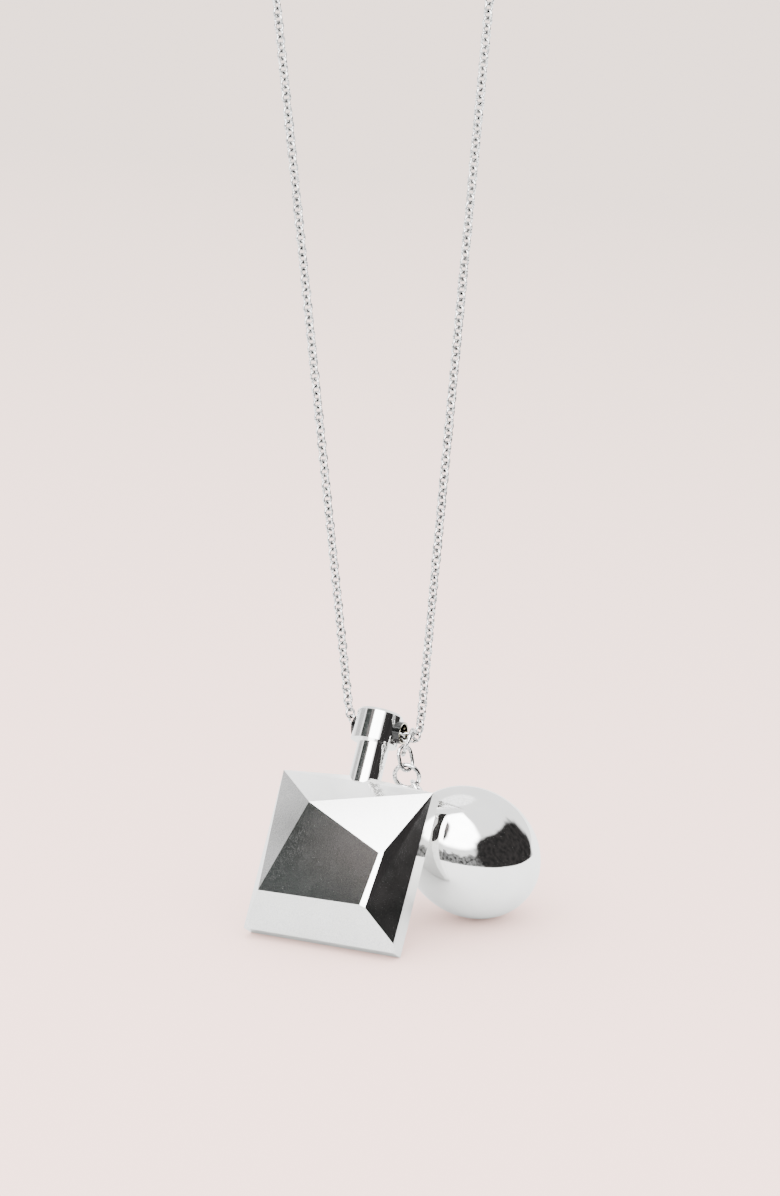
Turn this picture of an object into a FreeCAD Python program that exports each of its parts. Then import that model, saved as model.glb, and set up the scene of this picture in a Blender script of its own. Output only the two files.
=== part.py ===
"""Pendant necklace: a square faceted bottle and a polished ovoid on a rolo chain.

All sizes are in millimetres. +Z is up and +X runs along the bottle's cross tube. The origin is
the top of the chain loop, where a neck or a display peg carries the necklace. The bottle leans
back, and its lower back edge and the ovoid stand level, as on a table.
"""

import FreeCAD, Part
import Sketcher
import math
import os

from FreeCAD import Placement, Rotation, Vector

SIZES = {
    # chain, end rings and clasp
    "chain_width": 1.52,
    "end_wire_radius": 0.3,
    "left_end_ring_radius": 1.3,
    "right_end_ring_radius": 1.6,
    "clasp_radius": 2.3,
    "clasp_tube_radius": 0.7,
    "clasp_bore_radius": 0.42,
    "clasp_bolt_radius": 0.36,
    "clasp_spring_radius": 0.38,
    "clasp_spring_hollow": 0.24,
    "clasp_eye_radius": 1.0,
    "clasp_eye_wire_radius": 0.25,
    "thumb_nub_radius": 0.2,
    "thumb_nub_reach": 3.45,
    "thumb_slot_width": 0.5,
    # bottle
    "bottle_width": 25.0,
    "shoulder_rise": 1.0,
    "shoulder_set_back": 0.65,
    "band_depth": 2.8,
    "bottle_wall": 0.9,
    "back_depth": 1.0,
    "back_bevel": 1.0,
    "neck_radius": 2.45,
    "neck_bore_radius": 1.7,
    "neck_height": 6.73,
    "filling_hole_radius": 0.9,
    "cap_radius": 3.6,
    "cap_height": 4.9,
    "cap_chamfer": 0.45,
    "cross_tube_radius": 1.7,
    "cross_tube_bore": 1.45,
    "cross_tube_length": 8.05,
    # hanging rings and ovoid
    "ring_wire_radius": 0.35,
    "top_ring_radius": 2.0,
    "lower_ring_radius": 1.9,
    "link_wire_radius": 0.3,
    "link_length": 3.73,
    "link_width": 2.63,
    "ovoid_long": 11.06,
    "ovoid_round": 9.66,
    "ovoid_wall": 0.8,
    "eyelet_radius": 1.25,
    "eyelet_wire_radius": 0.3,
    "eyelet_reach": 13.06,
    "eyelet_stem_radius": 0.75,
}

PIVOT = Vector(-0.4, 0.0, -187.5)  # on the cross tube's axis, over the bottle's middle
LEAN = 33.5  # degrees that the bottle leans back
NECK_SETBACK = 2.3  # from the front's rim to the neck's axis
CROSS_TUBE_RISE = 33.93  # from the bottle's lower edge to the cross tube's axis
CROSS_TUBE_START = -3.65  # the tube's left mouth, measured from the neck's axis
SADDLE_BACK = 5.0  # the neck's saddle runs this far behind the front's rim

# The clasp lies across the top of the loop, its ring in the loop's plane. Its angles, in
# degrees, run round its ring from +X towards +Z.
CLASP_CENTRE = Vector(1.2, 0.0, 0.0)
MOUTH = (15.0, 75.0)
BOLT = (11.0, 130.0)
SPRING = (131.0, 251.0)
BORE = (70.0, 252.0)
SOCKET = (7.0, 20.0)
THUMB_SLOT = (93.0, 162.0)
THUMB_NUB = 100.0
EYE_SEAT = (135.0, 225.0)
EYE_SINK = 0.15  # how far the eye's wire is let into the ring beyond touching

# The chain's route in the plane of the loop, as (x, z): from its left end down to the cross
# tube, through that and the top ring, and up to its right end.
CHAIN_ROUTE = [
    (-6.0, 0.0),
    (-11.0, -1.0),
    (-16.9, -4.7),
    (-21.2, -10.5),
    (-22.97, -18.2),
    (-4.9, -187.5),
    (-1.7, -187.5),
    (1.2, -187.55),
    (3.7, -187.85),
    (6.55, -188.65),
    (22.95, -18.2),
    (21.2, -10.5),
    (16.9, -4.7),
    (11.0, -1.0),
    (5.95, 0.0),
]
BEND_SHARE = 0.45  # of the shorter run, taken up by each bend
END_GAP = 0.05  # between the chain's tube and the end rings

# Where the hanging rings lie, and the way that each one faces.
TOP_RING = PIVOT + Vector(5.12, 0.0, -1.3)
TOP_RING_FACES = Vector(0.891, 0.295, -0.344)
LINK = PIVOT + Vector(5.23, -1.02, -3.54)
LINK_FACES = Vector(0.913, -0.311, 0.264)
LOWER_RING = PIVOT + Vector(5.4, -0.93, -6.42)
LOWER_RING_FACES = Vector(0.212, -0.968, -0.134)
OVOID = PIVOT + Vector(14.63, 2.51, -18.33)
OVOID_AXIS = Vector(-0.717, -0.336, 0.611)
EYELET_AXIS = Vector(-0.591, -0.223, 0.775)  # from the ovoid's middle, a little off its long axis
EYELET_FACES = Vector(0.656, 0.366, 0.66)

# The front's inner corners as (x, z), with the lower ones on one sloping bottom facet.
BOTTOM_SLOPE = 0.75
FOOT_RIGHT = (12.5, 1.2)
TABLE_LOW_LEFT = (-9.85, 5.29)
TABLE_LOW_RIGHT = (7.1, 5.55)
RIDGE_LOW = (7.97, 5.31)
TABLE_HIGH_RIGHT = (7.9, 13.9)
TABLE_HIGH_LEFT = (-5.57, 20.07)
RIDGE_HIGH = (8.56, 14.36)
TABLE_HEIGHT = 3.7  # at the table's upper right corner

UP = Vector(0, 0, 1)

doc = FreeCAD.newDocument("pendant_necklace")
sheet = doc.addObject("Spreadsheet::Sheet", "sizes")
for row, (alias, value) in enumerate(SIZES.items(), start=1):
    sheet.set(f"A{row}", alias)
    sheet.set(f"B{row}", str(value))
    sheet.setAlias(f"B{row}", alias)
doc.recompute()

subparts = []


def size(alias):
    """A driving dimension, read from the sheet."""
    return float(sheet.get(alias))


def keep(item, label, placement=None):
    """Name a finished sub-part and put it in its place."""
    item.Label = label
    if placement is not None:
        item.Placement = placement
    subparts.append(item)


def primitive(kind, name, **expressions):
    """A Part primitive with its sizes bound to the sheet."""
    item = doc.addObject(f"Part::{kind}", name)
    for prop, expression in expressions.items():
        item.setExpression(prop, expression)
    return item


def cut(name, base, tool):
    """What is left of the base outside the tool."""
    item = doc.addObject("Part::Cut", name)
    item.Base = base
    item.Tool = tool
    return item


def fuse(name, *items):
    """Several shapes as one solid."""
    item = doc.addObject("Part::MultiFuse", name)
    item.Shapes = list(items)
    return item


def shaped(name, shape):
    """A Part::Feature for a shape that neither sketches nor primitives give."""
    item = doc.addObject("Part::Feature", name)
    item.Shape = shape
    return item


def facing(direction, centre):
    """A placement that turns local Z to a direction."""
    return Placement(centre, Rotation(UP, direction))


# ------------------------------------------------------------------ sketches


def sketch_on(body, name, plane):
    """An empty sketch on one of a body's own origin planes."""
    sketch = body.newObject("Sketcher::SketchObject", name)
    planes = {item.Role: item for item in body.Origin.OriginFeatures}
    sketch.AttachmentSupport = (planes[plane], "")
    sketch.MapMode = "FlatFace"
    return sketch


def draw_circle(sketch, radius):
    """A circle about the sketch's origin, its radius bound to a cell."""
    circle = sketch.addGeometry(Part.Circle(Vector(0, 0, 0), UP, size(radius)))
    sketch.addConstraint(Sketcher.Constraint("Coincident", circle, 3, -1, 1))
    driven = sketch.addConstraint(Sketcher.Constraint("Radius", circle, size(radius)))
    sketch.setExpression(f"Constraints[{driven}]", f"sizes.{radius}")


def pad(body, sketch, length):
    """A pad along the sketch's normal."""
    feature = body.newObject("PartDesign::Pad", f"{sketch.Name}_pad")
    feature.Profile = sketch
    feature.setExpression("Length", f"sizes.{length}")
    return feature


# ------------------------------------------------------------------ chain and end rings


def tangent_path(points, share):
    """Straight runs joined by tangent arcs, and the arcs' radii."""
    edges = []
    radii = []
    start = points[0]
    for before, corner, after in zip(points, points[1:], points[2:], strict=False):
        arriving = (corner - before).normalize()
        leaving = (after - corner).normalize()
        half_turn = arriving.getAngle(leaving) / 2
        reach = share * min((corner - before).Length, (after - corner).Length)
        radius = reach / math.tan(half_turn)
        first = corner - arriving * reach
        last = corner + leaving * reach
        inward = (leaving - arriving).normalize()
        middle = corner + inward * (radius / math.cos(half_turn) - radius)
        edges.append(Part.LineSegment(start, first).toShape())
        edges.append(Part.Arc(first, middle, last).toShape())
        radii.append(radius)
        start = last
    edges.append(Part.LineSegment(start, points[-1]).toShape())
    return Part.Wire(edges), radii


def tube_along(path, radius):
    """A round solid swept along a path from its first point."""
    start = path.Edges[0]
    direction = start.tangentAt(start.FirstParameter)
    circle = Part.Circle(start.valueAt(start.FirstParameter), direction, radius)
    return path.makePipeShell([Part.Wire(circle.toShape())], True, False)


def make_chain():
    """The room that the chain's links take up: a round tube along the loop."""
    points = [Vector(x, 0, z) for x, z in CHAIN_ROUTE]
    path, radii = tangent_path(points, BEND_SHARE)
    radius = size("chain_width") / 2
    solid = tube_along(path, radius)
    ideal = math.pi * radius * radius * path.Length
    print("chain bend radii", [round(value, 2) for value in radii])
    print("chain length", round(path.Length, 2))
    print("chain volume over section times length", round(solid.Volume / ideal, 5))
    keep(shaped("chain_solid", solid), "chain")


def make_ring(label, radius, wire_radius, centre, direction):
    """A soldered jump ring."""
    ring = primitive(
        "Torus", label, Radius1=f"sizes.{radius}", Radius2=f"sizes.{wire_radius}"
    )
    keep(ring, label, facing(direction, centre))


def make_end_rings():
    """The ring between chain and clasp on the left, and the one that the clasp catches."""
    margin = size("end_wire_radius") + END_GAP
    left = CHAIN_ROUTE[0][0] + margin + size("left_end_ring_radius")
    right = CHAIN_ROUTE[-1][0] - margin - size("right_end_ring_radius")
    wire = "end_wire_radius"
    make_ring("left_end_ring", "left_end_ring_radius", wire, Vector(left, 0, 0), UP)
    make_ring("right_end_ring", "right_end_ring_radius", wire, Vector(right, 0, 0), UP)


# ------------------------------------------------------------------ spring ring clasp


def clasp_place(start):
    """The clasp ring's frame, turned on to an angle."""
    ring = Rotation(Vector(1, 0, 0), 90)
    return Placement(CLASP_CENTRE, ring * Rotation(UP, start))


def ring_sector(name, tube_radius, span):
    """The stretch of a round tube bent round the clasp's axis, between two angles."""
    sector = primitive(
        "Torus", name, Radius1="sizes.clasp_radius", Radius2=f"sizes.{tube_radius}"
    )
    sector.Angle3 = span[1] - span[0]
    sector.Placement = clasp_place(span[0])
    return sector


def thumb_slot():
    """The room that the thumb nub slides in, through the ring's outer wall."""
    slab = primitive(
        "Cylinder", "slot_slab", Radius="sizes.thumb_nub_reach", Height="sizes.thumb_slot_width"
    )
    slab.Angle = THUMB_SLOT[1] - THUMB_SLOT[0]
    core = primitive(
        "Cylinder", "slot_core", Radius="sizes.clasp_radius", Height="sizes.thumb_slot_width"
    )
    slot = cut("slot_room", slab, core)
    lower = Placement(Vector(0, 0, -size("thumb_slot_width") / 2), Rotation())
    slot.Placement = clasp_place(THUMB_SLOT[0]) * lower
    return slot


def thumb_nub():
    """The pin that a fingernail pulls the bolt back by."""
    pin = primitive("Cylinder", "nub_pin", Radius="sizes.thumb_nub_radius")
    pin.setExpression("Height", "sizes.thumb_nub_reach - sizes.clasp_radius")
    outward = Placement(Vector(size("clasp_radius"), 0, 0), Rotation(Vector(0, 1, 0), 90))
    pin.Placement = clasp_place(THUMB_NUB) * outward
    return pin


def make_clasp_body():
    """A hollow ring with a mouth, a socket for the bolt's tip and a slot for its nub."""
    tube = ring_sector("clasp_tube", "clasp_tube_radius", (MOUTH[1], 360 + MOUTH[0]))
    bored = cut("clasp_bored", tube, ring_sector("clasp_bore", "clasp_bore_radius", BORE))
    socket = ring_sector("clasp_socket", "clasp_bore_radius", SOCKET)
    keep(cut("clasp_slotted", cut("clasp_socketed", bored, socket), thumb_slot()), "clasp_body")


def make_clasp_bolt():
    """The curved wire that closes the mouth, with its nub."""
    wire = ring_sector("bolt_wire", "clasp_bolt_radius", BOLT)
    keep(fuse("bolt_with_nub", wire, thumb_nub()), "clasp_bolt")


def make_clasp_spring():
    """The spring behind the bolt, as the sleeve that its coils fill."""
    outside = ring_sector("spring_outside", "clasp_spring_radius", SPRING)
    inside = ring_sector("spring_inside", "clasp_spring_hollow", SPRING)
    keep(cut("spring_sleeve", outside, inside), "clasp_spring")


def make_clasp_eye():
    """The eye that ties the clasp to the chain, let into the ring."""
    reach = size("clasp_radius") + size("clasp_tube_radius") + size("clasp_eye_radius")
    wire = primitive(
        "Torus", "eye_wire", Radius1="sizes.clasp_eye_radius", Radius2="sizes.clasp_eye_wire_radius"
    )
    wire.Placement = facing(Vector(0, 1, 0), CLASP_CENTRE - Vector(reach - EYE_SINK, 0, 0))
    seat = ring_sector("eye_seat", "clasp_tube_radius", EYE_SEAT)
    keep(cut("eye_on_seat", wire, seat), "clasp_eye")


# ------------------------------------------------------------------ bottle


def in_bottle(x, y, z):
    """A place in the bottle's frame: X across, Y into it, Z up from the front's lower edge."""
    lean = Rotation(Vector(1, 0, 0), -LEAN)
    corner = PIVOT - lean.multVec(Vector(0, NECK_SETBACK, CROSS_TUBE_RISE))
    return Placement(corner, lean) * Placement(Vector(x, y, z), Rotation())


def height_over(low, point):
    """Height of the plane through three corners, above a point (x, z)."""
    first, second, third = low
    normal = (second - first).cross(third - first)
    return first.z - (normal.x * (point[0] - first.x) + normal.y * (point[1] - first.y)) / normal.z


def relief_corners():
    """The front's corners as (x, z, height): a square rim about a lopsided raised table."""
    half = size("bottle_width") / 2
    corners = {
        "top_left": Vector(-half, 2 * half, 0),
        "top_right": Vector(half, 2 * half, 0),
        "bottom_left": Vector(-half, 0, 0),
        "bottom_right": Vector(half, 0, 0),
        "high_right": Vector(*TABLE_HIGH_RIGHT, TABLE_HEIGHT),
    }
    lower = {
        "foot": FOOT_RIGHT,
        "low_left": TABLE_LOW_LEFT,
        "low_right": TABLE_LOW_RIGHT,
        "ridge_low": RIDGE_LOW,
    }
    for name, (x, z) in lower.items():
        corners[name] = Vector(x, z, BOTTOM_SLOPE * z)
    table = [corners[name] for name in ("low_left", "low_right", "high_right")]
    corners["high_left"] = Vector(*TABLE_HIGH_LEFT, height_over(table, TABLE_HIGH_LEFT))
    crown = [corners[name] for name in ("high_left", "high_right", "top_right")]
    corners["ridge_high"] = Vector(*RIDGE_HIGH, height_over(crown, RIDGE_HIGH))
    return corners


RELIEF_FACES = [
    ("top_left", "bottom_left", "bottom_right", "top_right"),
    ("top_left", "high_left", "top_right"),
    ("top_left", "low_left", "high_left"),
    ("top_left", "bottom_left", "low_left"),
    ("high_left", "low_left", "low_right", "high_right"),
    ("high_right", "low_right", "ridge_low"),
    ("high_right", "ridge_low", "ridge_high"),
    ("high_left", "high_right", "ridge_high", "top_right"),
    ("top_right", "ridge_high", "ridge_low"),
    ("top_right", "ridge_low", "foot"),
    ("top_right", "foot", "bottom_right"),
    ("bottom_left", "bottom_right", "foot", "ridge_low", "low_right", "low_left"),
]


def relief_solid(shrink, sink):
    """The front's relief as a solid, drawn in towards its middle and sunk for its inside."""
    middle = size("bottle_width") / 2
    places = {
        name: Vector(corner.x * shrink, sink - corner.z, middle + (corner.y - middle) * shrink)
        for name, corner in relief_corners().items()
    }
    faces = []
    for names in RELIEF_FACES:
        points = [places[name] for name in names]
        faces.append(Part.Face(Part.makePolygon(points + points[:1])))
    solid = Part.Solid(Part.Shell(faces))
    if solid.Volume < 0:
        solid.reverse()
    return solid


def make_front_shell():
    """The faceted front, hollow behind."""
    wall = size("bottle_wall")
    shrink = 1 - 2 * wall / size("bottle_width")
    front = relief_solid(1.0, 0.0).cut(relief_solid(shrink, wall))
    keep(shaped("front_solid", front), "bottle_front_shell", in_bottle(0, 0, 0))


def make_side_band():
    """A square band with a low gable for a shoulder, holed under the neck."""
    block = primitive(
        "Box",
        "band_block",
        Length="sizes.bottle_width",
        Width="sizes.band_depth",
        Height="sizes.bottle_width",
    )
    block.Placement = Placement(Vector(-size("bottle_width") / 2, 0, 0), Rotation())
    shoulder = gable("band_shoulder", "sizes.band_depth")
    shoulder.Placement = gable_place(size("band_depth"), size("bottle_width"))
    inside = primitive(
        "Box",
        "band_inside",
        Length="sizes.bottle_width - 2 * sizes.bottle_wall",
        Width="sizes.band_depth",
        Height="sizes.bottle_width - 2 * sizes.bottle_wall",
    )
    wall = size("bottle_wall")
    inside.Placement = Placement(Vector(wall - size("bottle_width") / 2, 0, wall), Rotation())
    hole = primitive(
        "Cylinder", "filling_hole", Radius="sizes.filling_hole_radius", Height="sizes.neck_height"
    )
    hole_start = size("bottle_width") - 2 * wall
    hole.Placement = Placement(Vector(0, NECK_SETBACK, hole_start), Rotation())
    band = cut("band_ring", fuse("band_outline", block, shoulder), inside)
    keep(cut("band_holed", band, hole), "bottle_side_band", in_bottle(0, 0, 0))


def gable_place(back, bottom):
    """Stands a gable upright, with its back end and its bottom at these places."""
    return Placement(Vector(0, back, bottom), Rotation(Vector(1, 0, 0), 90))


def gable(name, length):
    """The shoulder's low gable, lying on its back end, its ridge set back from the front."""
    return primitive(
        "Wedge",
        name,
        Xmin="-sizes.bottle_width / 2",
        Xmax="sizes.bottle_width / 2",
        X2min="0",
        X2max="0",
        Ymin="0",
        Ymax="sizes.shoulder_rise",
        Zmin="0",
        Zmax=length,
        Z2min="0",
        Z2max=f"{length} - sizes.shoulder_set_back",
    )


def make_back_plate():
    """A flat back with a bevel all round."""
    plate = primitive(
        "Wedge",
        "back_plate",
        Xmin="-sizes.bottle_width / 2",
        Xmax="sizes.bottle_width / 2",
        X2min="sizes.back_bevel - sizes.bottle_width / 2",
        X2max="sizes.bottle_width / 2 - sizes.back_bevel",
        Ymin="0",
        Ymax="sizes.back_depth",
        Zmin="0",
        Zmax="sizes.bottle_width",
        Z2min="sizes.back_bevel",
        Z2max="sizes.bottle_width - sizes.back_bevel",
    )
    keep(plate, "bottle_back_plate", in_bottle(0, size("band_depth"), 0))


def make_neck():
    """A tube saddled over the shoulder's gable."""
    body = doc.addObject("PartDesign::Body", "neck_tube")
    section = sketch_on(body, "neck_section", "XY_Plane")
    draw_circle(section, "neck_radius")
    draw_circle(section, "neck_bore_radius")
    pad(body, section, "neck_height")
    saddle = gable("neck_saddle", str(SADDLE_BACK))
    saddle.Placement = gable_place(SADDLE_BACK - NECK_SETBACK, 0)
    top = size("bottle_width")
    keep(cut("neck_saddled", body, saddle), "bottle_neck", in_bottle(0, NECK_SETBACK, top))


def make_cap():
    """A round cap with a chamfered top, bored across for the chain's tube."""
    body = doc.addObject("PartDesign::Body", "cap_round")
    section = sketch_on(body, "cap_section", "XY_Plane")
    draw_circle(section, "cap_radius")
    feature = pad(body, section, "cap_height")
    doc.recompute()
    top = size("cap_height")
    rims = [
        f"Edge{number}"
        for number, edge in enumerate(feature.Shape.Edges, start=1)
        if all(abs(vertex.Z - top) < 0.01 for vertex in edge.Vertexes)
    ]
    chamfer = body.newObject("PartDesign::Chamfer", "cap_chamfer_cut")
    chamfer.Base = (feature, rims)
    chamfer.setExpression("Size", "sizes.cap_chamfer")
    bore = primitive(
        "Cylinder",
        "cap_cross_bore",
        Radius="sizes.cross_tube_radius",
        Height="4 * sizes.cap_radius",
    )
    bottom = size("bottle_width") + size("neck_height")
    across = Rotation(Vector(0, 1, 0), 90)
    start = Vector(-2 * size("cap_radius"), 0, CROSS_TUBE_RISE - bottom)
    bore.Placement = Placement(start, across)
    keep(cut("cap_bored", body, bore), "bottle_cap", in_bottle(0, NECK_SETBACK, bottom))


def make_cross_tube():
    """The tube through the cap that the chain runs in."""
    body = doc.addObject("PartDesign::Body", "cross_tube")
    section = sketch_on(body, "cross_tube_section", "YZ_Plane")
    draw_circle(section, "cross_tube_radius")
    draw_circle(section, "cross_tube_bore")
    pad(body, section, "cross_tube_length")
    start = in_bottle(CROSS_TUBE_START, NECK_SETBACK, CROSS_TUBE_RISE)
    keep(body, "cap_cross_tube", start)


# ------------------------------------------------------------------ hanging rings and ovoid


def make_hanging_rings():
    """The round ring on the chain, and the lower ring that holds the ovoid's eyelet."""
    wire = "ring_wire_radius"
    make_ring("hanging_ring", "top_ring_radius", wire, TOP_RING, TOP_RING_FACES)
    make_ring("ovoid_ring", "lower_ring_radius", wire, LOWER_RING, LOWER_RING_FACES)


def make_oval_link():
    """The oval link between the two rings, its long way upright."""
    straight = (size("link_length") - size("link_width")) / 2
    radius = size("link_width") / 2
    down = (LINK_FACES * LINK_FACES.dot(UP) - UP * LINK_FACES.dot(LINK_FACES)).normalize()
    across = LINK_FACES.cross(down).normalize()
    top = LINK - down * straight
    low = LINK + down * straight
    corners = [top - across * radius, top + across * radius]
    corners += [low + across * radius, low - across * radius]
    path = Part.Wire(
        [
            Part.Arc(corners[0], top - down * radius, corners[1]).toShape(),
            Part.LineSegment(corners[1], corners[2]).toShape(),
            Part.Arc(corners[2], low + down * radius, corners[3]).toShape(),
            Part.LineSegment(corners[3], corners[0]).toShape(),
        ]
    )
    keep(shaped("oval_link_solid", tube_along(path, size("link_wire_radius"))), "oval_link")


def ellipsoid(name, inset, low, high):
    """The ovoid's form between two latitudes, drawn in by an inset."""
    item = primitive(
        "Ellipsoid",
        name,
        Radius1=f"sizes.ovoid_long - {inset}",
        Radius2=f"sizes.ovoid_round - {inset}",
    )
    item.Angle1 = low
    item.Angle2 = high
    return item


def make_ovoid_shells():
    """Two half shells that meet at the ovoid's widest line."""
    for label, low, high in (("ovoid_upper_shell", 0, 90), ("ovoid_lower_shell", -90, 0)):
        outside = ellipsoid(f"{label}_outside", "0", low, high)
        inside = ellipsoid(f"{label}_inside", "sizes.ovoid_wall", low, high)
        keep(cut(f"{label}_hollow", outside, inside), label, facing(OVOID_AXIS, OVOID))


def make_eyelet():
    """The loop near the ovoid's upper end, on a short stem fitted to the shell."""
    axis = Vector(EYELET_AXIS).normalize()
    faces = EYELET_FACES - axis * EYELET_FACES.dot(axis)
    loop = primitive(
        "Torus", "eyelet_loop", Radius1="sizes.eyelet_radius", Radius2="sizes.eyelet_wire_radius"
    )
    loop.Placement = facing(faces, OVOID + axis * size("eyelet_reach"))
    stem = primitive("Cylinder", "eyelet_stem", Radius="sizes.eyelet_stem_radius")
    stem.setExpression("Height", "sizes.eyelet_reach - sizes.eyelet_radius - sizes.ovoid_round")
    stem.Placement = facing(axis, OVOID + axis * size("ovoid_round"))
    core = ellipsoid("eyelet_seat", "0", -90, 90)
    core.Placement = facing(OVOID_AXIS, OVOID)
    keep(cut("eyelet_fitted", fuse("eyelet_whole", loop, stem), core), "ovoid_eyelet")


# ------------------------------------------------------------------ build and export

make_chain()
make_end_rings()
make_clasp_body()
make_clasp_bolt()
make_clasp_spring()
make_clasp_eye()
make_front_shell()
make_side_band()
make_back_plate()
make_neck()
make_cap()
make_cross_tube()
make_hanging_rings()
make_oval_link()
make_ovoid_shells()
make_eyelet()
doc.recompute()

for item in doc.Objects:
    if "Invalid" in item.State or "Error" in item.State:
        raise RuntimeError(f"{item.Label} failed: {item.State}")
for item in subparts:
    if item.Shape.isNull() or not item.Shape.isValid():
        raise RuntimeError(f"{item.Label} has no valid shape")

os.makedirs("parts", exist_ok=True)
for item in subparts:
    item.Shape.exportStep(f"parts/{item.Label}.step")
print("sub-parts written", len(subparts))
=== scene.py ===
import math
import random

import bmesh
import bpy
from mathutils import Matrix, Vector, noise


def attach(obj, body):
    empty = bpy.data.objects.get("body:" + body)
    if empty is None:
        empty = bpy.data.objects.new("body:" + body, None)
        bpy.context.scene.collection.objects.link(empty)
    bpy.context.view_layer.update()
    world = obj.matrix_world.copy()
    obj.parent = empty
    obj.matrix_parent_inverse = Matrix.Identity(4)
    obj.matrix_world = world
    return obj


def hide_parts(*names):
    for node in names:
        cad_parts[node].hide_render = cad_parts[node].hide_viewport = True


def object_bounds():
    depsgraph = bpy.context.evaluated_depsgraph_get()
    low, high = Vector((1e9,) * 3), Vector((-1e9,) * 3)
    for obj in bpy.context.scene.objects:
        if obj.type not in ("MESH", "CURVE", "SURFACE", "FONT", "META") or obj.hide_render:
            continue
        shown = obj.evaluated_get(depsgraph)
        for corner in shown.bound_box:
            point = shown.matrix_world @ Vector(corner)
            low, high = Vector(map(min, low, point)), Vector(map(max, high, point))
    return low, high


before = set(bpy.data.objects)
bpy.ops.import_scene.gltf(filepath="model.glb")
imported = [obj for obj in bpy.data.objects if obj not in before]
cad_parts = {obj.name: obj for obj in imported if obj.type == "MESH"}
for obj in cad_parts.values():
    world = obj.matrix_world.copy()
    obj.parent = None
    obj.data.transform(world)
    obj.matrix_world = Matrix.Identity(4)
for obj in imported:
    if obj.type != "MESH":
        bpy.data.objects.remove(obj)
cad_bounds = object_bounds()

MM = 0.001
ROOT = "necklace_chain"
PIVOT = Vector((-0.4, 0.0, -187.5)) * MM  # middle of the cross tube
PAINTED_DARK_FROM = 1.6 * MM  # from the cross tube's axis: where the painted dark reflection on its outside begins
PAINTED_DARK_FULL = 1.66 * MM
FLOOR_HEIGHT = cad_bounds[0][2] - 0.02 * MM

# The camera stands in front and to the right, looking down at the pendants.
CAMERA_PLACE = Vector((288.0, -604.4, 35.3)) * MM
CAMERA_AIM = Vector((-0.4105, 0.8667, -0.2892))
CAMERA_LENS = 139.9

# The chain's route in the plane of the loop, as (x, z) in metres: part.py's points, with one
# more near each end of the two long straight strands.
ROUTE = [
    (-0.0060, 0.0),
    (-0.0110, -0.0010),
    (-0.0169, -0.0047),
    (-0.0212, -0.0105),
    (-0.02297, -0.0182),
    (-0.02213, -0.02605),
    (-0.00586, -0.17855),
    (-0.0049, -0.1875),
    (-0.0017, -0.1875),
    (0.0012, -0.18755),
    (0.0037, -0.18785),
    (0.00655, -0.18865),
    (0.00741, -0.17969),
    (0.02219, -0.02606),
    (0.02295, -0.0182),
    (0.0212, -0.0105),
    (0.0169, -0.0047),
    (0.0110, -0.0010),
    (0.00595, 0.0),
]
LINK_WIRE = 0.185 * MM
LINK_RADIUS = 0.71 * MM
LINK_PITCH = 2 * (LINK_RADIUS - LINK_WIRE)
LINK_ROLL = 45  # degrees that the first link is turned about the chain's heading
LINK_ROLL_BY_RISE = 22  # more turn on a rising strand, less on a falling one
LINK_ROLL_STRAY = 6
PAINTED_SHADE_REACH = 0.5 * MM  # how near another wire must come for the painted shade to blacken a link
END_REACH = 0.09 * MM  # from the route's ends to the centres of the first and last links


# ------------------------------------------------------------------ camera


def add_camera():
    data = bpy.data.cameras.new("camera")
    data.lens = CAMERA_LENS
    data.clip_start = 0.01
    data.clip_end = 20.0
    camera = bpy.data.objects.new("camera", data)
    camera.location = CAMERA_PLACE
    camera.rotation_euler = CAMERA_AIM.to_track_quat("-Z", "Y").to_euler()
    bpy.context.scene.collection.objects.link(camera)
    bpy.context.scene.camera = camera


# ------------------------------------------------------------------ materials


class Nodes:
    """A material's node tree, with short ways to add what the metals share."""

    def __init__(self, name):
        self.material = bpy.data.materials.new(name)
        self.material.use_nodes = True
        self.tree = self.material.node_tree
        self.shader = self.tree.nodes["Principled BSDF"]
        self.place = self.tree.nodes.new("ShaderNodeTexCoord").outputs["Object"]

    def add(self, kind, inputs=None, **settings):
        node = self.tree.nodes.new(kind)
        for key, value in settings.items():
            setattr(node, key, value)
        for key, value in (inputs or {}).items():
            if isinstance(value, bpy.types.NodeSocket):
                self.tree.links.new(value, node.inputs[key])
            else:
                node.inputs[key].default_value = value
        return node

    def link(self, output, socket):
        self.tree.links.new(output, self.shader.inputs[socket])

    def noise(self, size, detail=3.0, stretch=(1, 1, 1), turn=(0, 0, 0)):
        """Noise whose features are about one size across, stretched along an axis."""
        scale = [factor / size for factor in stretch]
        mapping = self.add(
            "ShaderNodeMapping", {"Vector": self.place, "Rotation": turn, "Scale": scale}
        )
        texture = self.add(
            "ShaderNodeTexNoise",
            {"Vector": mapping.outputs["Vector"], "Scale": 1.0, "Detail": detail},
        )
        return texture.outputs["Fac"]

    def spread(self, value, low, high, floor=0.3, top=0.7):
        """A noise value remapped to run between two numbers."""
        ranged = self.add(
            "ShaderNodeMapRange",
            {"Value": value, "From Min": floor, "From Max": top, "To Min": low, "To Max": high},
        )
        return ranged.outputs["Result"]

    def tint(self, value, dark, light):
        """A colour between two, picked by a value from 0 to 1."""
        mixed = self.add(
            "ShaderNodeMix", {"Factor": value, "A": dark, "B": light}, data_type="RGBA"
        )
        return mixed.outputs[2]

    def bump(self, value, depth, normal=None):
        inputs = {"Height": value, "Distance": depth, "Strength": 1.0}
        if normal is not None:
            inputs["Normal"] = normal
        return self.add("ShaderNodeBump", inputs).outputs["Normal"]


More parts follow.
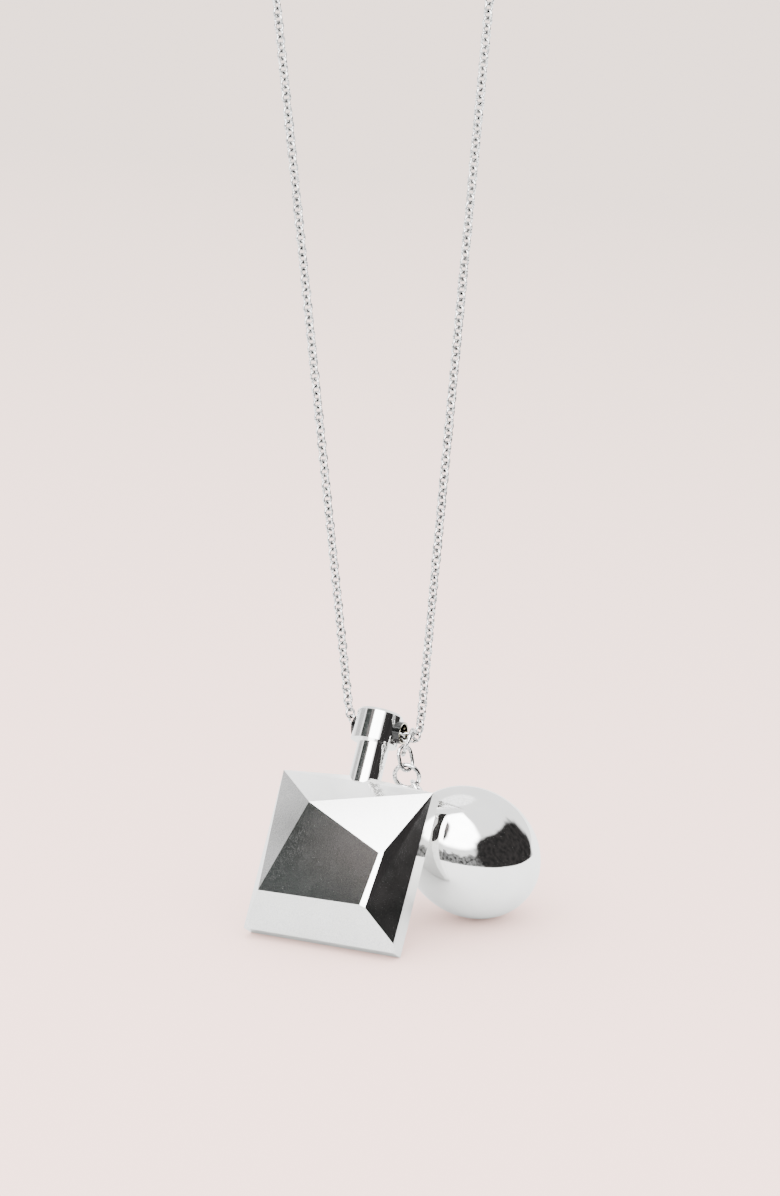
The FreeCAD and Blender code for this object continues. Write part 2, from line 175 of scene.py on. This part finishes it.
def silver(name, light, dark, rough, grain_size, grain_depth, hairline_depth, wave_depth):
    """Polished silver: faint tarnish, uneven roughness, fine grain, hairlines and a slow wave."""
    nodes = Nodes(name)
    nodes.shader.inputs["Metallic"].default_value = 1.0
    tarnish = nodes.noise(4.0 * MM, detail=4.0)
    shade = nodes.spread(tarnish, 0.0, 1.0)
    colour = nodes.tint(shade, (*dark, 1.0), (*light, 1.0))
    nodes.link(colour, "Base Color")
    patches = nodes.noise(1.6 * MM, detail=5.0)
    nodes.link(nodes.spread(patches, rough[0], rough[1]), "Roughness")
    hairs = nodes.noise(0.1 * MM, detail=2.0, stretch=(1, 0.05, 0.05), turn=(0.3, 0.5, 0.2))
    slow = nodes.noise(6.0 * MM, detail=1.0)
    normal = nodes.bump(slow, wave_depth)
    normal = nodes.bump(hairs, hairline_depth, normal)
    normal = nodes.bump(nodes.noise(grain_size, detail=2.0), grain_depth, normal)
    nodes.link(normal, "Normal")
    return nodes


def satin_silver(bright, shaded):
    """Brushed silver: the same, with a fine speckle that shows where it reflects the dark."""
    nodes = silver(
        "satin_silver", bright, shaded, (0.04, 0.07), 0.12 * MM, 0.0008 * MM,
        0.0006 * MM, 0.002 * MM
    )
    polish = nodes.shader.inputs["Base Color"].links[0].from_socket
    speckle = nodes.spread(nodes.noise(0.16 * MM, detail=3.0), 0.0, 1.0, floor=0.3, top=0.62)
    nodes.link(nodes.tint(speckle, (0.68, 0.68, 0.675, 1.0), polish), "Base Color")
    return nodes


def tube_silver():
    """Old silver, yellowed in the bore and on the mouths' inner rims; its outside is a painted dark
    reflection.
    """
    nodes = silver(
        "cross_tube_silver_painted_dark", (0.62, 0.59, 0.48), (0.45, 0.42, 0.33), (0.12, 0.2), 0.12 * MM,
        0.0006 * MM, 0.0006 * MM, 0.004 * MM
    )
    yellowed = nodes.shader.inputs["Base Color"].links[0].from_socket
    # Painted reflection: away from the axis, the tube's outside is coloured near black for the dark
    # it reflects.
    middle = nodes.add("ShaderNodeVectorMath", {0: nodes.place, 1: PIVOT}, operation="SUBTRACT")
    flat = nodes.add(
        "ShaderNodeVectorMath", {0: middle.outputs[0], 1: (0.0, 1.0, 1.0)}, operation="MULTIPLY"
    )
    reach = nodes.add("ShaderNodeVectorMath", {0: flat.outputs[0]}, operation="LENGTH")
    outside = nodes.spread(reach.outputs["Value"], 0.0, 1.0, floor=PAINTED_DARK_FROM, top=PAINTED_DARK_FULL)
    nodes.link(nodes.tint(outside, yellowed, (0.05, 0.05, 0.05, 1.0)), "Base Color")
    return nodes


def chain_silver_painted_shade(bright, shaded):
    """Polished silver with painted shade, near black where wires come close together, and worn grey
    in patches.
    """
    nodes = silver(
        "chain_silver_painted_shade", bright, shaded, (0.06, 0.14), 0.08 * MM, 0.0003 * MM, 0.0002 * MM, 0.0
    )
    polish = nodes.shader.inputs["Base Color"].links[0].from_socket
    # Painted shade: ambient occlusion turns the colour near black where another wire is close.
    painted_shade_ao = nodes.add("ShaderNodeAmbientOcclusion", {"Distance": PAINTED_SHADE_REACH}, samples=8)
    open_share = nodes.spread(painted_shade_ao.outputs["AO"], 0.0, 1.0, floor=0.4, top=0.85)
    worn = nodes.spread(nodes.noise(0.3 * MM, detail=1.0), 0.0, 1.0, floor=0.42, top=0.54)
    patched = nodes.tint(worn, (0.3, 0.3, 0.3, 1.0), polish)
    nodes.link(nodes.tint(open_share, (0.03, 0.03, 0.03, 1.0), patched), "Base Color")
    return nodes


def make_materials():
    bright = (0.94, 0.935, 0.925)
    shaded = (0.88, 0.875, 0.86)
    kinds = {
        "polished": silver(
            "polished_silver", bright, shaded, (0.03, 0.06), 0.12 * MM, 0.0004 * MM,
            0.0004 * MM, 0.004 * MM
        ),
        "satin": satin_silver(bright, shaded),
        "mirror": silver(
            "mirror_silver", bright, shaded, (0.04, 0.07), 0.14 * MM, 0.0008 * MM,
            0.0003 * MM, 0.006 * MM
        ),
        "tube": tube_silver(),
        "turned": silver(
            "turned_silver", bright, shaded, (0.05, 0.1), 0.12 * MM, 0.0005 * MM,
            0.0008 * MM, 0.004 * MM
        ),
        "spring": silver(
            "spring_wire", (0.6, 0.6, 0.6), (0.45, 0.45, 0.46), (0.25, 0.4),
            0.05 * MM, 0.0004 * MM, 0.0003 * MM, 0.001 * MM
        ),
        "chain": chain_silver_painted_shade(bright, shaded),
    }
    return {name: nodes.material for name, nodes in kinds.items()}


# ------------------------------------------------------------------ mesh helpers


def add_object(name, data):
    item = bpy.data.objects.new(name, data)
    bpy.context.scene.collection.objects.link(item)
    return item


def mesh_object(name, points, faces, smooth=True):
    mesh = bpy.data.meshes.new(name)
    mesh.from_pydata(points, [], faces)
    mesh.update()
    if smooth:
        mesh.shade_smooth()
    return add_object(name, mesh)


def ring_grid(offset, around, across):
    """Faces of a closed tube: across vertices on each of around closed sections."""
    faces = []
    for i in range(around):
        for j in range(across):
            k = (i + 1) % around
            m = (j + 1) % across
            faces.append(
                (
                    offset + i * across + j,
                    offset + k * across + j,
                    offset + k * across + m,
                    offset + i * across + m,
                )
            )
    return faces


# ------------------------------------------------------------------ chain


def route_points():
    """Points along the route's smooth curve, read from its NURBS spline."""
    curve = bpy.data.curves.new("route", "CURVE")
    curve.dimensions = "3D"
    curve.resolution_u = 24
    spline = curve.splines.new("NURBS")
    spline.points.add(len(ROUTE) - 1)
    for point, (x, z) in zip(spline.points, ROUTE):
        point.co = (x, 0.0, z, 1.0)
    spline.order_u = 3
    spline.use_endpoint_u = True
    line = add_object("route", curve)
    mesh = bpy.data.meshes.new_from_object(line)
    points = [vertex.co.copy() for vertex in mesh.vertices]
    bpy.data.objects.remove(line)
    bpy.data.curves.remove(curve)
    bpy.data.meshes.remove(mesh)
    return points


def walk(points):
    """The line's length, and a function from a distance along it to its place and heading."""
    reached = [0.0]
    for first, second in zip(points, points[1:]):
        reached.append(reached[-1] + (second - first).length)

    def at(distance):
        index = 0
        while index < len(points) - 2 and reached[index + 1] < distance:
            index += 1
        heading = (points[index + 1] - points[index]).normalized()
        return points[index] + heading * (distance - reached[index]), heading

    return reached[-1], at


def link_points(centre, heading, roll, around=28, across=10):
    """One round link: its plane holds the chain's heading, turned about it by a roll."""
    side = Vector((0, 1, 0))
    other = heading.cross(side).normalized()
    width = side * math.cos(roll) + other * math.sin(roll)
    axis = heading.cross(width).normalized()
    points = []
    for i in range(around):
        angle = 2 * math.pi * i / around
        out = heading * math.cos(angle) + width * math.sin(angle)
        for j in range(across):
            turn = 2 * math.pi * j / across
            reach = LINK_RADIUS + LINK_WIRE * math.cos(turn)
            points.append(centre + out * reach + axis * (LINK_WIRE * math.sin(turn)))
    return points, ring_grid(0, around, across)


def make_chain(material):
    """Separate round links along the route, each a quarter turn from the one before."""
    line = route_points()
    length, at = walk(line)
    count = round((length + 2 * END_REACH) / LINK_PITCH) + 1
    pitch = (length + 2 * END_REACH) / (count - 1)
    draw = random.Random(5)
    points = []
    faces = []
    for number in range(count):
        centre, heading = at(number * pitch - END_REACH)
        stray = draw.uniform(-LINK_ROLL_STRAY, LINK_ROLL_STRAY)
        turned = LINK_ROLL + LINK_ROLL_BY_RISE * heading.z + 90 * (number % 2) + stray
        roll = math.radians(turned)
        link, grid = link_points(centre, heading, roll)
        faces.extend(tuple(index + len(points) for index in face) for face in grid)
        points.extend(link)
    chain = mesh_object("chain_links", points, faces)
    chain.data.materials.append(material)
    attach(chain, ROOT)
    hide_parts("chain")


# ------------------------------------------------------------------ ovoid


OVOID_CENTRE = PIVOT + Vector((14.63, 2.51, -18.33)) * MM
OVOID_AXIS = Vector((-0.717, -0.336, 0.611)).normalized()
OVOID_LONG = 11.06 * MM
OVOID_ROUND = 9.66 * MM
POLISH_WAVE = 0.012 * MM


def make_ovoid(material):
    """The ovoid as one polished surface, its joint worked away, with faint polishing waves."""
    mesh = bpy.data.meshes.new("ovoid_surface")
    ball = bmesh.new()
    bmesh.ops.create_icosphere(ball, subdivisions=7, radius=1.0)
    stand = OVOID_AXIS.to_track_quat("Z", "Y").to_matrix()
    for vertex in ball.verts:
        out = vertex.co.normalized()
        wave = POLISH_WAVE * noise.noise(out * 2.6) - POLISH_WAVE
        place = Vector((out.x * OVOID_ROUND, out.y * OVOID_ROUND, out.z * OVOID_LONG))
        vertex.co = OVOID_CENTRE + stand @ (place + out * wave)
    ball.to_mesh(mesh)
    ball.free()
    mesh.shade_smooth()
    ovoid = add_object("ovoid_surface", mesh)
    mesh.materials.append(material)
    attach(ovoid, "ovoid")
    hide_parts("ovoid_upper_shell", "ovoid_lower_shell")


# ------------------------------------------------------------------ clasp spring


CLASP_CENTRE = Vector((1.2, 0.0, 0.0)) * MM
CLASP_RADIUS = 2.3 * MM
SPRING_SPAN = (math.radians(131), math.radians(251))
SPRING_RADIUS = 0.33 * MM
SPRING_WIRE = 0.045 * MM
SPRING_TURNS = 32


def make_spring(material):
    """The fine coil behind the clasp's bolt, wound round the ring's centre line."""
    steps = SPRING_TURNS * 12
    across = 6
    centres = []
    for step in range(steps + 1):
        share = step / steps
        angle = SPRING_SPAN[0] + (SPRING_SPAN[1] - SPRING_SPAN[0]) * share
        wind = 2 * math.pi * SPRING_TURNS * share
        out = Vector((math.cos(angle), 0, math.sin(angle)))
        reach = CLASP_RADIUS + SPRING_RADIUS * math.cos(wind)
        side = Vector((0, SPRING_RADIUS * math.sin(wind), 0))
        centres.append(CLASP_CENTRE + out * reach + side)
    points = []
    for number, centre in enumerate(centres):
        before = centres[max(0, number - 1)]
        after = centres[min(steps, number + 1)]
        heading = (after - before).normalized()
        first = Vector((0.3, 1.0, 0.2)).cross(heading).normalized()
        second = heading.cross(first)
        for j in range(across):
            turn = 2 * math.pi * j / across
            points.append(centre + (first * math.cos(turn) + second * math.sin(turn)) * SPRING_WIRE)
    faces = [face for face in ring_grid(0, steps + 1, across)][: steps * across]
    last = steps * across
    faces.append(tuple(range(across))[::-1])
    faces.append(tuple(last + j for j in range(across)))
    spring = mesh_object("spring_coil", points, faces)
    spring.data.materials.append(material)
    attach(spring, ROOT)
    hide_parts("clasp_spring")


# ------------------------------------------------------------------ CAD nodes


def soften(node, width, angle=25.0):
    """A small worn round on a CAD node's edges."""
    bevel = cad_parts[node].modifiers.new("worn_edges", "BEVEL")
    bevel.width = width
    bevel.segments = 3
    bevel.limit_method = "ANGLE"
    bevel.angle_limit = math.radians(angle)
    bevel.harden_normals = True


# The pieces that aren't plain polished silver.
SILVER_OF = {
    "bottle_front_shell": "satin",
    "bottle_back_plate": "satin",
    "bottle_cap": "turned",
    "bottle_neck": "turned",
    "cap_cross_tube": "tube",
    "hanging_ring": "chain",
    "oval_link": "chain",
    "ovoid_ring": "chain",
}


def dress_nodes(materials):
    """The CAD's own pieces: polished unless listed, with small rounds on the bottle's edges."""
    for name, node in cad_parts.items():
        material = materials[SILVER_OF.get(name, "polished")]
        node.data.materials.clear()
        node.data.materials.append(material)
    soften("bottle_front_shell", 0.1 * MM, 4.0)
    soften("bottle_side_band", 0.3 * MM)
    soften("bottle_back_plate", 0.12 * MM)
    soften("bottle_cap", 0.12 * MM)
    soften("cap_cross_tube", 0.06 * MM)


# ------------------------------------------------------------------ stage and light


def floor_material():
    """A pale pink surface that turns cooler and dimmer away from the object: painted light falloff.

    Reflections see it as a neutral grey, painted slightly lighter towards +X.
    """
    nodes = Nodes("floor")
    nodes.shader.inputs["Roughness"].default_value = 0.9
    nodes.shader.inputs["Specular IOR Level"].default_value = 0.1
    split = nodes.add("ShaderNodeSeparateXYZ", {"Vector": nodes.place})
    # Painted light falloff: the floor's colour grows dimmer and cooler away from the object.
    away = nodes.spread(split.outputs["Y"], 0.0, 1.0, floor=-0.05, top=0.5)
    colour = nodes.tint(away, (0.86, 0.59, 0.53, 1.0), (0.53, 0.43, 0.38, 1.0))
    # Painted brightness for reflections: the grey that reflections see grows lighter towards +X.
    across = nodes.spread(split.outputs["X"], 0.0, 1.0, floor=-0.01, top=0.025)
    reflected = nodes.tint(across, (0.6, 0.6, 0.595, 1.0), (0.66, 0.66, 0.655, 1.0))
    path = nodes.add("ShaderNodeLightPath")
    nodes.link(nodes.tint(path.outputs["Is Glossy Ray"], colour, reflected), "Base Color")
    grain = nodes.noise(0.4 * MM, detail=4.0)
    nodes.link(nodes.bump(grain, 0.004 * MM), "Normal")
    return nodes.material


def add_floor():
    half = 3.0
    corners = [(-half, -half), (half, -half), (half, half), (-half, half)]
    floor = mesh_object("floor", [(x, y, FLOOR_HEIGHT) for x, y in corners], [(0, 1, 2, 3)], False)
    floor.data.materials.append(floor_material())


def card_material(name, dark, light, patch):
    """A card that glows between two grey levels in soft patches, and fades out at its edges."""
    nodes = Nodes(name)
    tree = nodes.tree
    tree.nodes.remove(nodes.shader)
    shade = nodes.spread(nodes.noise(patch, detail=3.0), 0.0, 1.0, floor=0.35, top=0.65)
    colour = nodes.tint(shade, (*dark, 1.0), (*light, 1.0))
    glow = nodes.add("ShaderNodeEmission", {"Color": colour, "Strength": 1.0})
    clear = nodes.add("ShaderNodeBsdfTransparent")
    fade = nodes.add("ShaderNodeAttribute", attribute_name="fade")
    mix = nodes.add("ShaderNodeMixShader", {0: fade.outputs["Fac"]})
    tree.links.new(clear.outputs[0], mix.inputs[1])
    tree.links.new(glow.outputs[0], mix.inputs[2])
    tree.links.new(mix.outputs[0], tree.nodes["Material Output"].inputs["Surface"])
    return nodes.material


def smooth_step(value):
    value = min(1.0, max(0.0, value))
    return value * value * (3 - 2 * value)


def add_card(name, azimuth, height, distance, dark, light, patch, soft, ragged=0.0):
    """A curved card round the pendants: azimuth and height in degrees, seen from the ovoid.

    Azimuth is counted from +Y towards +X. soft is the width of its faded edge in degrees, and
    ragged is how far that edge wanders. It glows between the colours dark and light, in patches
    of about one size. Only reflections see it, so it casts no shadow.
    """
    steps = 48
    middle = Vector((8.0, 0.0, -205.0)) * MM
    half_turn = (azimuth[1] - azimuth[0]) / 2
    half_rise = (height[1] - height[0]) / 2
    flat = math.cos(math.radians(height[0] + half_rise))
    corner = 0.8 * min(half_turn * flat, half_rise)
    points = []
    fades = []
    for i in range(steps + 1):
        for j in range(steps + 1):
            turn = half_turn * (2 * i / steps - 1)
            rise = half_rise * (2 * j / steps - 1)
            east = math.radians(azimuth[0] + half_turn + turn)
            up = math.radians(height[0] + half_rise + rise)
            level = math.cos(up)
            out = Vector((level * math.sin(east), level * math.cos(east), math.sin(up)))
            points.append(middle + out * distance)
            past_side = abs(turn) * flat - (half_turn * flat - corner)
            past_end = abs(rise) - (half_rise - corner)
            inside = corner - math.hypot(max(past_side, 0.0), max(past_end, 0.0))
            inside -= min(max(past_side, past_end), 0.0)
            inside += ragged * noise.noise(out * 9.0)
            fades.append(smooth_step(inside / soft))
    faces = []
    for i in range(steps):
        for j in range(steps):
            first = i * (steps + 1) + j
            faces.append((first, first + 1, first + steps + 2, first + steps + 1))
    card = mesh_object(name, points, faces)
    attribute = card.data.attributes.new("fade", "FLOAT", "POINT")
    attribute.data.foreach_set("value", fades)
    card.data.materials.append(card_material(name, dark, light, patch))
    card.visible_camera = False
    card.visible_diffuse = False
    card.visible_shadow = False


def grey(level):
    return (level, level, level)


def add_cards():
    """Black and grey flags, a bright softbox, and two cards for the light facets."""
    black = (grey(0.028), (0.06, 0.055, 0.055))
    add_card("right_flag", (32, 146), (-16, 42), 0.1, *black, 0.008, 9.0, 3.0)
    add_card("tail_flag", (130, 205), (-15, 13), 0.11, grey(0.05), grey(0.6), 0.006, 6.0, 5.0)
    add_card("chain_flag", (45, 130), (0, 42), 0.5, *black, 0.05, 4.0)
    table = ((0.15, 0.136, 0.13), (0.37, 0.335, 0.325))
    # Two darker flags over part of the front one, so that the front's dark facet isn't even.
    shade = ((0.035, 0.041, 0.039), (0.085, 0.095, 0.091))
    add_card("shade_flag", (-143.2, -116), (24, 58), 0.54, *shade, 0.008, 2.0, 0.4)
    add_card("low_shade_flag", (-165, -118), (26, 44.0), 0.53, *shade, 0.008, 1.3, 0.3)
    add_card("front_flag", (-172, -112), (20, 61), 0.55, *table, 0.014, 5.0, 1.0)
    add_card("softbox", (123, 239), (16, 88), 0.9, grey(13.0), grey(15.0), 0.2, 8.0)
    add_card("left_card", (-112, -70), (5, 46), 0.8, grey(0.5), grey(1.6), 0.018, 6.0)
    add_card("top_card", (-95, 5), (42, 80), 0.85, grey(2.0), grey(4.6), 0.02, 7.0)


def set_world():
    """Even white light, dimmer in reflections than on the floor."""
    world = bpy.data.worlds.new("studio")
    world.use_nodes = True
    bpy.context.scene.world = world
    tree = world.node_tree
    background = tree.nodes["Background"]
    background.inputs["Color"].default_value = (1.0, 1.0, 1.0, 1.0)
    path = tree.nodes.new("ShaderNodeLightPath")
    strength = tree.nodes.new("ShaderNodeMapRange")
    strength.inputs["To Min"].default_value = 5.2
    strength.inputs["To Max"].default_value = 2.2
    tree.links.new(path.outputs["Is Glossy Ray"], strength.inputs["Value"])
    tree.links.new(strength.outputs["Result"], background.inputs["Strength"])


# ------------------------------------------------------------------ build

metals = make_materials()
add_camera()
make_chain(metals["chain"])
make_ovoid(metals["mirror"])
make_spring(metals["spring"])
dress_nodes(metals)
add_floor()
add_cards()
set_world()
